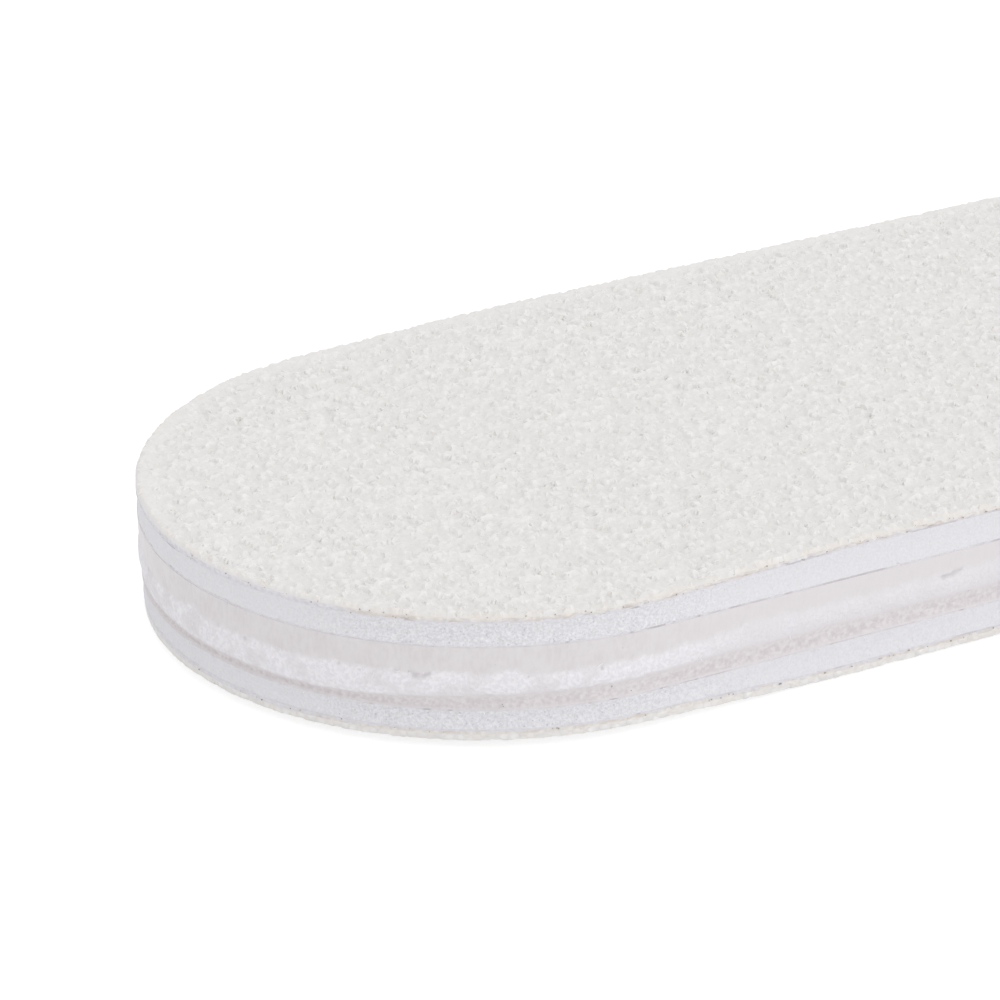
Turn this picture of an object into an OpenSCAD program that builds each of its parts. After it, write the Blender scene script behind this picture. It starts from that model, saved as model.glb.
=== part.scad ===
// Cushioned emery board: a stiff plastic core with a foam cushion, a backing
// paper and an abrasive coat on each face, all held by thin adhesive films and
// die-cut in one stroke to a strip with full-round tips.
//
// The board lies flat with its length along X and its thickness along Z. The
// origin is under the middle of the board, in the plane that it rests on.

/* [Board] */
// Length from tip to tip
board_length = 178; // [90:1:240]
// Width, which is also the diameter of the round tips
board_width = 19; // [12:0.5:30]

/* [Layers] */
// Thickness of the stiff plastic core
core_t = 1.84; // [0.8:0.02:3]
// Thickness of the foam cushion above the core
upper_foam_t = 0.86; // [0.5:0.02:2]
// Thickness of the foam cushion below the core
lower_foam_t = 0.74; // [0.5:0.02:2]
// Thickness of each adhesive film
film_t = 0.05; // [0.03:0.01:0.1]
// Thickness of each backing paper
paper_t = 0.1; // [0.08:0.01:0.2]
// Thickness of the upper abrasive coat, to the tops of its grains
upper_grit_t = 0.16; // [0.1:0.01:0.3]
// Thickness of the lower, coarser abrasive coat, to the tops of its grains
lower_grit_t = 0.2; // [0.1:0.01:0.3]

/* [Die-cut edge] */
// How far the lower rim lies inside the upper rim
cut_slant = 0.17; // [0:0.01:0.3]
// How far the blade presses each face in at the tips
tip_pinch = 0.2; // [0:0.01:0.3]
// How far the smooth sheared band of the core covers its edge, as a share
sheared_share = 0.4; // [0.2:0.01:0.5]
// How far the torn ridge of the core covers its edge, as a share
torn_share = 0.31; // [0.2:0.01:0.4]
// How far the torn ridge stands proud
ridge_height = 0.05; // [0:0.01:0.1]
// How far the groove under the ridge is drawn in
groove_depth = 0.07; // [0:0.01:0.1]
// How far the cut foam is hollow between its faces
foam_hollow = 0.05; // [0:0.01:0.1]
// How far the adhesive films end inside the cut
film_inset = 0.06; // [0:0.01:0.1]

/* [Hidden] */
$fn = 96;

tip_r = board_width / 2;
tip_x = board_length / 2 - tip_r;

// Height of the underside of each layer, from the resting plane up
z_lower_paper = lower_grit_t;
z_lower_paper_film = z_lower_paper + paper_t;
z_lower_foam = z_lower_paper_film + film_t;
z_lower_core_film = z_lower_foam + lower_foam_t;
z_core = z_lower_core_film + film_t;
z_upper_core_film = z_core + core_t;
z_upper_foam = z_upper_core_film + film_t;
z_upper_paper_film = z_upper_foam + upper_foam_t;
z_upper_paper = z_upper_paper_film + film_t;
z_upper_grit = z_upper_paper + paper_t;

// The pinch is full outside pinch_x and gone inside flat_x, by an even S curve
pinch_x = tip_x + 1.6;
flat_x = tip_x - 6.4;
pinch_steps = 8;
// What the cutting stock stands past the outline before it is cut
spare = 1;
// Steps along a curved stretch of the edge's profile
curve_steps = 8;
// How far the foam, and the top of the abrasive coat, end inside the paper
foam_inset = 0.04;
grit_rim_inset = 0.05;

foam_white = [0.86, 0.86, 0.89];
core_white = [0.86, 0.83, 0.84];
paper_cream = [0.87, 0.85, 0.81];
grit_cream = [0.90, 0.89, 0.87];
film_grey = [0.72, 0.70, 0.70];

// Share of the pinch at a distance x along the board, from 0 to 1
function s_curve(u) = u * u * (3 - 2 * u);
function pinch_share(x) =
    s_curve(max(0, min(1, (abs(x) - flat_x) / (pinch_x - flat_x))));

// Places along the board where a pinched face changes its slope
tip_stations = [for (i = [0 : pinch_steps]) flat_x + (pinch_x - flat_x) * i / pinch_steps];
stations = concat(
    [-board_length / 2 - spare],
    [for (i = [pinch_steps : -1 : 0]) -tip_stations[i]],
    tip_stations,
    [board_length / 2 + spare]
);

// A face at height z that each tip presses down by the given drop
function face_line(z, drop) = [for (x = stations) [x, z - drop * pinch_share(x)]];
function reversed(list) = [for (i = [len(list) - 1 : -1 : 0]) list[i]];

// A flat sheet of stock before it is cut, pressed at the tips
module sheet(z_low, z_high, drop_low, drop_high)
    rotate([90, 0, 0])
        linear_extrude(board_width + 2 * spare, center = true)
            polygon(concat(face_line(z_low, drop_low), reversed(face_line(z_high, drop_high))));

// Half-width of the cut at height z, before a layer's own relief. It is widest
// at the upper paper's top face.
function cut_r(z) = tip_r - cut_slant * (1 - z / z_upper_grit);

// The strip inside a wall that runs all round the board. The wall is given as
// [inset, height] pairs from the bottom up.
module cut_strip(wall) {
    edge = [for (p = wall) [cut_r(p[1]) - p[0], p[1]]];
    half = concat([[0, edge[0][1]]], edge, [[0, edge[len(edge) - 1][1]]]);
    across = concat(edge, [for (p = reversed(edge)) [-p[0], p[1]]]);
    rotate([90, 0, 90])
        linear_extrude(2 * tip_x, center = true)
            polygon(across);
    for (side = [-1, 1])
        translate([side * tip_x, 0, 0])
            rotate([0, 0, -90 * side])
                rotate_extrude(angle = 180)
                    polygon(half);
}

// A thin layer that the blade cuts straight, pressed at the tips with its faces
module pressed_layer(z, t, inset, drop)
    intersection() {
        sheet(z, z + t, drop, drop);
        cut_strip([[inset, z - spare], [inset, z + t + spare]]);
    }

// Inset of the hollow in cut foam, at a share u of the foam's height
function foam_relief(u) = foam_inset + foam_hollow * sin(180 * u);

// A foam cushion: one face lies flat on the core, the other is pressed at the tips
module foam_layer(z, t, drop_low, drop_high) {
    hollow = [for (i = [0 : curve_steps]) [foam_relief(i / curve_steps), z + t * i / curve_steps]];
    intersection() {
        sheet(z, z + t, drop_low, drop_high);
        cut_strip(concat(
            [[foam_inset, z - spare]],
            hollow,
            [[foam_inset, z + t + spare]]
        ));
    }
}

// Inset of the core's edge at a share u of its height: a groove drawn in at the
// bottom, a torn ridge that stands proud, and a smooth sheared band to the top
groove_share = 1 - sheared_share - torn_share;
function core_relief(u) =
    u < groove_share ? groove_depth * sin(180 * u / groove_share)
    : u < 1 - sheared_share ? -ridge_height * sin(180 * (u - groove_share) / torn_share)
    : 0;

// An abrasive coat whose outer corner the blade rounds over
module grit_layer(z, t, drop, low_inset, high_inset)
    intersection() {
        sheet(z, z + t, drop, drop);
        cut_strip([
            [low_inset, z - spare],
            [low_inset, z],
            [high_inset, z + t],
            [high_inset, z + t + spare]
        ]);
    }

module upper_grit() {
    color(grit_cream)
        grit_layer(z_upper_grit, upper_grit_t, tip_pinch, 0, grit_rim_inset);
}

module upper_paper() {
    color(paper_cream)
        pressed_layer(z_upper_paper, paper_t, 0, tip_pinch);
}

module upper_paper_film() {
    color(film_grey)
        pressed_layer(z_upper_paper_film, film_t, film_inset, tip_pinch);
}

module upper_foam() {
    color(foam_white)
        foam_layer(z_upper_foam, upper_foam_t, 0, tip_pinch);
}

module upper_core_film() {
    color(film_grey)
        cut_strip([[film_inset, z_upper_core_film], [film_inset, z_upper_foam]]);
}

module core() {
    groove = [for (i = [0 : curve_steps]) groove_share * i / curve_steps];
    ridge = [for (i = [1 : curve_steps]) groove_share + torn_share * i / curve_steps];
    shares = concat(groove, ridge, [1]);
    color(core_white)
        cut_strip([for (u = shares) [core_relief(u), z_core + core_t * u]]);
}

module lower_core_film() {
    color(film_grey)
        cut_strip([[film_inset, z_lower_core_film], [film_inset, z_core]]);
}

module lower_foam() {
    color(foam_white)
        foam_layer(z_lower_foam, lower_foam_t, -tip_pinch, 0);
}

module lower_paper_film() {
    color(film_grey)
        pressed_layer(z_lower_paper_film, film_t, film_inset, -tip_pinch);
}

module lower_paper() {
    color(paper_cream)
        pressed_layer(z_lower_paper, paper_t, 0, -tip_pinch);
}

module lower_grit() {
    color(grit_cream)
        grit_layer(0, lower_grit_t, -tip_pinch, grit_rim_inset, 0);
}

upper_grit();
upper_paper();
upper_paper_film();
upper_foam();
upper_core_film();
core();
lower_core_film();
lower_foam();
lower_paper_film();
lower_paper();
lower_grit();
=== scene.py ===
# %% [markdown]
# # A cushioned emery board, seen close up at one round tip
#
# An emery board is a sandwich. A stiff plastic core carries a foam cushion, a
# backing paper and an abrasive coat on each face, and thin adhesive films hold
# the layers together. The whole sheet is die-cut in one stroke, and the cut edge
# tells the story: crushed paper, open foam cells, and a plastic core that is
# sheared smooth at first and then tears.
#
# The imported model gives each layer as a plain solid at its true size. This lesson
# dresses every layer with its real surface, and never moves or resizes one.

from math import cos, pi, radians, sin

import bpy
import numpy as np
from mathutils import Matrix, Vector
from mathutils.geometry import delaunay_2d_cdt


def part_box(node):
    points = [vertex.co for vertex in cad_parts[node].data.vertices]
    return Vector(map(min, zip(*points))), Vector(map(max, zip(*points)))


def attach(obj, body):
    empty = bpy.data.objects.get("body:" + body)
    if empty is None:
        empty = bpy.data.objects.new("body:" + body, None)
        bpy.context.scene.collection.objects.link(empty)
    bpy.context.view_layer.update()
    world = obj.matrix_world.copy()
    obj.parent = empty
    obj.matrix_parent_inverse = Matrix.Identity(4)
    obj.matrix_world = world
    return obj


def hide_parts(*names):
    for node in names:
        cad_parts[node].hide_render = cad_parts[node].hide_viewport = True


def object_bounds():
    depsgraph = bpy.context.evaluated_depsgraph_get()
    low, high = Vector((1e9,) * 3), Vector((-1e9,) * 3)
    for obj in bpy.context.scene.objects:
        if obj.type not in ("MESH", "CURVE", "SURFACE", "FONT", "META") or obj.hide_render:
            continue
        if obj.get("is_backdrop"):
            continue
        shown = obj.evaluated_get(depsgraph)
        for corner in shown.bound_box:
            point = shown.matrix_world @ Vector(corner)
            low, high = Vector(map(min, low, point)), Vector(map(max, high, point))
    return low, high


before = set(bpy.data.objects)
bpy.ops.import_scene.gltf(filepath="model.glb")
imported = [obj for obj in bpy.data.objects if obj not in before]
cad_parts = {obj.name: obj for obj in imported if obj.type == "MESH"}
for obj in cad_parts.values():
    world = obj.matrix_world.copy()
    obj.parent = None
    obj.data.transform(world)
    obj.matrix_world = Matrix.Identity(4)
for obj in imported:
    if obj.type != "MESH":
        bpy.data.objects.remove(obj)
cad_low, cad_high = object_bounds()

MM = 0.001
scene = bpy.context.scene
print("layers in the packed board:", ", ".join(sorted(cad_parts)))
print("size in mm:", [round(side / MM, 3) for side in cad_high - cad_low])

# %% [markdown]
# ## The sizes that everything follows
#
# A digital twin stays true when its numbers come from one place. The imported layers
# already hold their heights, so they are read back here and not typed again. In
# the flat middle of the board each layer's outer face is the extreme of its box,
# and neighbours share the face between them.
#
# All the arithmetic is in millimetres, and each mesh is turned into metres once,
# when it is built.

# %% Read the sizes of the stack
BELOW_CORE = ["lower_grit", "lower_paper", "lower_paper_film", "lower_foam", "lower_core_film"]
ABOVE_CORE = ["upper_core_film", "upper_foam", "upper_paper_film", "upper_paper", "upper_grit"]

underside = {name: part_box(name)[0].z / MM for name in BELOW_CORE + ["core"]}
topside = {name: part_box(name)[1].z / MM for name in ["core"] + ABOVE_CORE}
stack = BELOW_CORE + ["core"] + ABOVE_CORE
for lower, upper in zip(stack, stack[1:]):
    topside.setdefault(lower, underside.get(upper))
    underside.setdefault(upper, topside[lower])

BOARD_LENGTH = round((cad_high.x - cad_low.x) / MM)
TIP_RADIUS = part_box("upper_paper")[1].y / MM
TIP_X = BOARD_LENGTH / 2 - TIP_RADIUS
RIM_Z = topside["upper_paper"]
# The blade leans, so the outline shrinks on its way down from the upper rim. The
# two films on the core are flat, so their widths show by how much.
film_widths = [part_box(film)[1].y / MM for film in ("lower_core_film", "upper_core_film")]
film_tops = [topside["lower_core_film"], topside["upper_core_film"]]
CUT_SLANT = RIM_Z * (film_widths[1] - film_widths[0]) / (film_tops[1] - film_tops[0])
# The blade also squeezes each tip before it cuts, fully from just past the centre
# of the tip's arc, and fading out over a few millimetres behind it
TIP_PINCH = RIM_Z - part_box("upper_grit")[0].z / MM
PINCH_FULL_X = TIP_X + 1.6
PINCH_FREE_X = TIP_X - 6.4

for name in stack:
    print(f"{name:18} {underside[name]:.2f} to {topside[name]:.2f} mm")
print(f"radius {TIP_RADIUS:.2f}, slant {CUT_SLANT:.3f}, pinch {TIP_PINCH:.2f} mm")

# %% [markdown]
# ## The camera
#
# A close view of so small a thing is taken with a long lens from a hand's breadth
# away. The camera is made first, because it decides how fine each surface has to
# be: at this distance a millimetre is about 35 pixels, so an abrasive grain and the
# valley beside it share 8 pixels. The camera could be placed by its coordinates,
# but those say little. It is written as a maker would say it: how far it stands
# off, how far round and how high, and the point of the board that it looks at.

# %% Set up the camera
CAMERA_DISTANCE = 150.0
CAMERA_ROUND = radians(-29.92)
CAMERA_HEIGHT = radians(24.42)
PIXELS_PER_MM = 34.517
LOOK_AT_PAST_TIP = (3.672, 5.275)
PICTURE_PIXELS = 1000
# What lies nearer or farther than this, in metres, isn't drawn
NEAREST_SEEN = 0.005
FARTHEST_SEEN = 20

look_at = Vector((-TIP_X + LOOK_AT_PAST_TIP[0], LOOK_AT_PAST_TIP[1], 0))
towards_camera = Vector((
    sin(CAMERA_ROUND) * cos(CAMERA_HEIGHT),
    -cos(CAMERA_ROUND) * cos(CAMERA_HEIGHT),
    sin(CAMERA_HEIGHT),
))
camera_data = bpy.data.cameras.new("camera")
camera_data.lens = PIXELS_PER_MM * CAMERA_DISTANCE * camera_data.sensor_width / PICTURE_PIXELS
camera_data.clip_start = NEAREST_SEEN
camera_data.clip_end = FARTHEST_SEEN
camera = bpy.data.objects.new("camera", camera_data)
camera.location = (look_at + towards_camera * CAMERA_DISTANCE) * MM
camera.rotation_euler = towards_camera.to_track_quat("Z", "Y").to_euler()
scene.collection.objects.link(camera)
scene.camera = camera
scene.view_settings.view_transform = "Standard"
print(f"lens {camera_data.lens:.1f} mm, camera at {[round(v, 4) for v in camera.location]}")

# %% [markdown]
# ## Steady randomness
#
# Grains, cells and tears are irregular, but the board has to come out the same on
# every run. A hash gives each cell of an unseen lattice its own fixed random
# number. Blending the numbers of neighbouring cells gives soft noise, the base for
# everything that wanders, swells or breaks on this board. Unlike a list of random
# numbers, the noise belongs to places: two layers that meet ask it at the same
# points and get the same answer.

# %% Lattice noise
def cell_random(cells, seed):
    """A fixed random number from 0 to 1 for each lattice cell.

    Large odd factors stir the bits of the cell's place until no pattern is left.
    """
    mixed = cells[..., 0] * 73856093 ^ cells[..., 1] * 19349663 ^ cells[..., 2] * 83492791
    mixed = (mixed ^ (seed * 2654435761)) & 0xFFFFFFFF
    mixed = ((mixed ^ (mixed >> 15)) * 2246822519) & 0xFFFFFFFF
    mixed = ((mixed ^ (mixed >> 13)) * 3266489917) & 0xFFFFFFFF
    return (mixed ^ (mixed >> 16)) / 0xFFFFFFFF


def soft_noise(points, size, seed):
    """Smooth noise from -1 to 1 at points in mm, whose swells are about size mm wide."""
    scaled = np.asarray(points, float) / size
    base = np.floor(scaled).astype(np.int64)
    part = scaled - base
    part = part * part * (3 - 2 * part)
    total = np.zeros(len(scaled))
    for corner in np.ndindex(2, 2, 2):
        weight = np.prod(np.where(corner, part, 1 - part), axis=1)
        total += weight * cell_random(base + corner, seed)
    return 2 * total - 1


def wander(points, size, by, seed):
    """Soft noise that swings by so much either way, in swells of this size."""
    return by * soft_noise(points, size, seed)


def smooth_step(low, high, value):
    """0 below low, 1 above high, and an even S curve between."""
    share = np.clip((value - low) / (high - low), 0, 1)
    return share * share * (3 - 2 * share)


sample = soft_noise(np.random.default_rng(1).uniform(0, 50, (20000, 3)), size=1, seed=7)
print(f"noise runs from {sample.min():.2f} to {sample.max():.2f}, mean {sample.mean():.3f}")

# %% [markdown]
# ## The cut edge as a ring of stations
#
# Every layer ends in the same cut, so one walk round the outline serves them all.
# It stops at stations, close together round the tip that is seen close up and
# wider apart on the rest of the board. A station knows the point on the board's
# middle line that it belongs to and the way out from there, so a point of the wall
# is just "so far out, at this height".
#
# The walk goes along one long side from tip to tip and comes back mirrored. That
# lets each face be closed by plain strips from side to side.

# %% Walk round the outline
CLOSE_STEP = 0.045
FAR_STEP = 0.3
CLOSE_SIDE = 14.0
STEP_GROWTH = 1.03


def side_steps():
    """Places along a long side, close together near the shown tip."""
    places = [-TIP_X]
    step = CLOSE_STEP
    while places[-1] + step < TIP_X - step / 2:
        places.append(places[-1] + step)
        if places[-1] > -TIP_X + CLOSE_SIDE:
            step = min(step * STEP_GROWTH, FAR_STEP)
    return np.array(places[1:])


def ring_stations():
    """Middle-line x and outward direction of every station, once round the board."""
    quarter = pi / 2
    shown = np.linspace(0, quarter, round(quarter * TIP_RADIUS / CLOSE_STEP) + 1)
    hidden = np.linspace(0, quarter, round(quarter * TIP_RADIUS / FAR_STEP) + 1)
    side = side_steps()
    middle = np.concatenate([np.full(len(shown), -TIP_X), side, np.full(len(hidden), TIP_X)])
    out_x = np.concatenate([-np.cos(shown), 0 * side, np.sin(hidden)])
    out_y = np.concatenate([-np.sin(shown), 0 * side - 1, -np.cos(hidden)])
    # The way back leaves out both ends, which the two sides share
    back = slice(-2, 0, -1)
    return (
        np.concatenate([middle, middle[back]]),
        np.concatenate([out_x, out_x[back]]),
        np.concatenate([out_y, -out_y[back]]),
    )


ring_middle, ring_out_x, ring_out_y = ring_stations()
ring_x = ring_middle + ring_out_x * TIP_RADIUS
RING = len(ring_middle)
HALF_RING = RING // 2
print(f"{RING} stations round the edge")

# %% [markdown]
# ## From a plain wall to a layer
#
# Three rules of the real board place any point of a wall. The blade leans, so the
# outline is a little smaller lower down. The tips are squeezed, and the foam gives
# while paper and plastic don't, so a face above or below the foam dips near a tip.
# And each layer recoils from the blade in its own way, which is its relief: how
# far the cut surface lies inside the blade's path.

# %% Place the points of a wall
# Heights that differ by less than this belong to the same face
TOUCHING = 1e-6


def cut_radius(height):
    """How far the blade's path lies from the middle line at this height."""
    return TIP_RADIUS - CUT_SLANT * (1 - height / RIM_Z)


def pinch_share(x):
    """How much of the squeeze a place along the board gets, from 0 to 1."""
    return smooth_step(PINCH_FREE_X, PINCH_FULL_X, np.abs(x))


def face_height(flat_height, x):
    """Height at x of the face that lies at flat_height in the board's flat middle."""
    if flat_height > topside["upper_foam"] - TOUCHING:
        return flat_height - TIP_PINCH * pinch_share(x)
    if flat_height < underside["lower_foam"] + TOUCHING:
        return flat_height + TIP_PINCH * pinch_share(x)
    return flat_height + 0 * x


def wall_grid(name, rows):
    """Share of the height and true height of each wall point of a layer, row by row."""
    low = face_height(underside[name], ring_x)
    high = face_height(topside[name], ring_x)
    share = np.linspace(0, 1, rows)[:, None] + 0 * ring_x
    return share, low + (high - low) * share


def wall_points(height, relief):
    """The wall's points in mm, set in from the blade's path by the relief."""
    reach = cut_radius(height) - relief
    return np.stack([ring_middle + ring_out_x * reach, ring_out_y * reach, height], axis=-1)


ring_test = wall_points(np.full((1, RING), RIM_Z), 0)
print("the upper rim measures", np.round(np.ptp(ring_test[0], axis=0)[:2], 3), "mm")

# %% [markdown]
# ## Faces between the points
#
# The points come in rows of one ring each. Neighbours in two rows make the quads of
# the wall, and the first and the last row are closed by strips that run across the
# board, from each station to its mirror image. A single face with thousands of
# corners would close them too, but renderers cut such a face up badly.

# %% Join the points by faces
def wall_faces(rows):
    """Quads of a wall, facing out."""
    here = np.arange(RING)
    after = (here + 1) % RING
    quads = []
    for row in range(rows - 1):
        low = row * RING
        high = low + RING
        quads.append(np.stack([low + here, low + after, high + after, high + here], axis=1))
    return np.concatenate(quads)


def strip_faces(first, upwards):
    """Strips from side to side that close the ring whose first point is given."""
    here = np.arange(HALF_RING)
    mirror = (RING - here) % RING
    mirror_after = (RING - here - 1) % RING
    quads = np.stack([here, here + 1, mirror_after, mirror], axis=1) + first
    return quads if upwards else quads[:, ::-1]


print(f"one row of wall has {len(wall_faces(2))} quads, one face {len(strip_faces(0, True))} strips")

# %% [markdown]
# ## From points and faces to a piece
#
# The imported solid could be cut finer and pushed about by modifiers, but its points
# wouldn't lie where the cut edge needs them. So each layer is built anew from its
# points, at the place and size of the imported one, and then stands for it. A piece
# can also carry marks, numbers on its own points or faces. The finish reads them,
# and that is how shape and colour agree on where the plastic is torn.

# %% Turn points and faces into a piece
CRISP_CORNER = radians(70)


def make_piece(name, points, faces, finish, node, marks=None):
    """A mesh piece in metres that stands for a layer and rides on the board."""
    mesh = bpy.data.meshes.new(name)
    # The strips at the very tips have doubled corners, and become triangles
    faces = [tuple(dict.fromkeys(face)) for face in faces]
    mesh.from_pydata((np.asarray(points) * MM).tolist(), [], faces)
    mesh.polygons.foreach_set("use_smooth", [True] * len(mesh.polygons))
    # The corner between a wall and its flat face stays crisp
    mesh.set_sharp_from_angle(angle=CRISP_CORNER)
    for mark, values in (marks or {}).items():
        domain = "POINT" if len(values) == len(points) else "FACE"
        layer = mesh.attributes.new(mark, "FLOAT", domain)
        layer.data.foreach_set("value", np.asarray(values, np.float32))
    mesh.materials.append(finish)
    piece = bpy.data.objects.new(name, mesh)
    scene.collection.objects.link(piece)
    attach(piece, "root")
    if node:
        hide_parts(node)
    print(f"{name}: {len(points)} points, {len(faces)} faces")
    return piece


def make_layer(name, node, rows, relief, finish, marks=None):
    """A closed layer whose wall is cut back by relief(points, share) in mm."""
    share, height = wall_grid(node, rows)
    plain = wall_points(height, 0).reshape(-1, 3)
    cut_back = relief(plain, share.ravel())
    points = wall_points(height, cut_back.reshape(rows, RING)).reshape(-1, 3)
    values = {mark: value(plain, share.ravel()) for mark, value in (marks or {}).items()}
    last = (rows - 1) * RING
    faces = [wall_faces(rows), strip_faces(0, False), strip_faces(last, True)]
    return make_piece(name, points, np.concatenate(faces).tolist(), finish, node, values)


print("a corner sharper than", round(CRISP_CORNER * 180 / pi), "degrees stays crisp")

# %% [markdown]
# ## A workshop for finishes
#
# Each finish is a small network of shader nodes. It could be drawn by hand in the
# node editor, but as code a recipe reads from top to bottom and can be repeated.
# The first helpers start a finish with its colour and gloss, add a node and link
# two sockets.

# %% Start a finish
def srgb(red, green, blue):
    """A colour as a paint chart gives it, 0 to 255, in Blender's linear values."""
    linear = [((v / 255 + 0.055) / 1.055) ** 2.4 for v in (red, green, blue)]
    return (*linear, 1)


def new_finish(name, colour, roughness, specular=0.3):
    """A material and its shader, with a colour that a recipe may replace."""
    finish = bpy.data.materials.new(name)
    finish.use_nodes = True
    shader = finish.node_tree.nodes["Principled BSDF"]
    shader.inputs["Base Color"].default_value = colour
    shader.inputs["Roughness"].default_value = roughness
    shader.inputs["Specular IOR Level"].default_value = specular
    return finish, shader


def add_node(finish, kind, **settings):
    """A node whose settings are its own properties or, failing that, its inputs."""
    node = finish.node_tree.nodes.new(kind)
    for key, value in settings.items():
        if key in node.bl_rna.properties:
            setattr(node, key, value)
        else:
            node.inputs[key].default_value = value
    return node


def join(finish, output, socket):
    """A link from one node's output to another node's input."""
    finish.node_tree.links.new(output, socket)


def show_recipe(finish):
    """Says how long a recipe has become."""
    print(f"{finish.name}: {len(finish.node_tree.nodes)} nodes")


print("mid grey on a paint chart is", round(srgb(128, 128, 128)[0], 3), "in linear light")

# %% [markdown]
# ## Textures in real millimetres
#
# A texture could be painted as an image and wrapped round the board, but then it
# would stretch and blur so close up. These textures are worked out in the solid
# from the object's own coordinates, so a grain is the same size on every piece and
# nothing stretches. There are two sorts: soft clouds, and Voronoi cells, which
# part space like soap bubbles and give each bubble a random colour.

# %% Clouds, cells and marks
def place(finish):
    """The board's own coordinates, in metres."""
    return add_node(finish, "ShaderNodeTexCoord").outputs["Object"]


def cloud(finish, size_mm, detail=2.0, rough=0.5):
    """Soft noise whose swells are size_mm wide, from 0 to 1."""
    node = add_node(finish, "ShaderNodeTexNoise", Scale=1 / (size_mm * MM), Detail=detail)
    node.inputs["Roughness"].default_value = rough
    join(finish, place(finish), node.inputs["Vector"])
    return node.outputs["Fac"]


def cells(finish, size_mm):
    """Voronoi cells of size_mm: gives the node, for its distance or its colour."""
    node = add_node(finish, "ShaderNodeTexVoronoi", Scale=1 / (size_mm * MM))
    join(finish, place(finish), node.inputs["Vector"])
    return node


def cell_shades(finish, voronoi):
    """The random colour of each cell as single numbers: Red, Green and Blue."""
    node = add_node(finish, "ShaderNodeSeparateColor")
    join(finish, voronoi.outputs["Color"], node.inputs["Color"])
    return node.outputs


def mark(finish, name):
    """A value that a piece carries on its own points."""
    return add_node(finish, "ShaderNodeAttribute", attribute_name=name).outputs["Fac"]


print("a 0.1 mm cloud has a scale of", round(1 / (0.1 * MM)), "to the metre")

# %% [markdown]
# ## Masks, mixes and relief
#
# A raw texture is too even to be of use. Stretching a narrow range of it over 0 to
# 1 turns it into a mask, a mask mixes two colours, and a height becomes relief by
# tilting the surface's shading. Fine relief could be real geometry too, but below
# three or four pixels the eye can't tell, and the mesh would be many times as heavy.

# %% Masks, mixes and relief
def remap(finish, value, low, high, new_low=0.0, new_high=1.0):
    """Stretches a range of values on to another one, and clamps it."""
    node = add_node(finish, "ShaderNodeMapRange")
    join(finish, value, node.inputs["Value"])
    for socket, number in zip(("From Min", "From Max", "To Min", "To Max"),
                              (low, high, new_low, new_high)):
        node.inputs[socket].default_value = number
    return node.outputs["Result"]


def blend(finish, share, first, second):
    """Mixes two colours: first where share is 0, second where it is 1."""
    node = add_node(finish, "ShaderNodeMix", data_type="RGBA")
    join(finish, share, node.inputs["Factor"])
    for socket, colour in ((node.inputs[6], first), (node.inputs[7], second)):
        if isinstance(colour, tuple):
            socket.default_value = colour
        else:
            join(finish, colour, socket)
    return node.outputs[2]


def combine(finish, operation, first, second):
    """Two values made into one, for example by multiplying them."""
    node = add_node(finish, "ShaderNodeMath", operation=operation)
    join(finish, first, node.inputs[0])
    join(finish, second, node.inputs[1])
    return node.outputs["Value"]


def emboss(finish, shader, height, depth_mm, strength=1.0):
    """Relief from a height of 0 to 1 that stands for depth_mm."""
    node = add_node(finish, "ShaderNodeBump", Strength=strength, Distance=depth_mm * MM)
    join(finish, height, node.inputs["Height"])
    join(finish, node.outputs["Normal"], shader.inputs["Normal"])


print("finish helpers ready")

# %% [markdown]
# ## Where along the edge
#
# The cut doesn't look the same all round. At the nose the blade pushes foam over
# the paper's edge, and on the long sides it drags dust along the glue lines, where
# a painted shade darkens them too. These two measures say how far a point belongs
# to the nose or to the long sides, and several layers below follow them. Their
# limits are millimetres from the centre of the tip's arc: out towards the nose, or
# back along the side.

# %% Nose and long sides
NOSE_START = 6.5
NOSE_FULL = 8.7
SIDE_START = -1.0
SIDE_FULL = 3.5
# Flattens points on to the board's plane, for what doesn't change with height
IN_PLAN = (1, 1, 0)


def nose_share(points):
    """1 at the front of a round tip, 0 on its flanks and on the long sides."""
    return smooth_step(TIP_X + NOSE_START, TIP_X + NOSE_FULL, np.abs(points[:, 0]))


def side_share(points):
    """1 on the long sides, 0 round the tips."""
    return smooth_step(SIDE_START, SIDE_FULL, TIP_X - np.abs(points[:, 0]))


print("nose starts at x =", round(-TIP_X - NOSE_START, 1), "mm")

# %% [markdown]
# ## The foam's finish
#
# The cushion is a closed-cell foam, and its white has a cool cast. Its cells are
# less than a tenth of a millimetre wide, so cut open they show as a fine speckle of
# bright walls and shaded hollows, which is painted light and shade from noise. A
# few cells are torn wide, and the middles of some Voronoi cells get a painted shade
# for their deeper hollows. Where the blade has wiped the cells shut, as a mark on
# the mesh says, the speckle fades.

# %% Foam finish
FOAM_WHITE = srgb(229, 228, 232)
FOAM_BRIGHT = srgb(243, 242, 246)
FOAM_SHADE = srgb(214, 214, 218)
FOAM_PIT_SHADE = srgb(188, 188, 194)
FOAM_CELL = 0.07
FOAM_SPECKLE = 0.08
SPECKLE_DEPTH = 0.02


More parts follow.
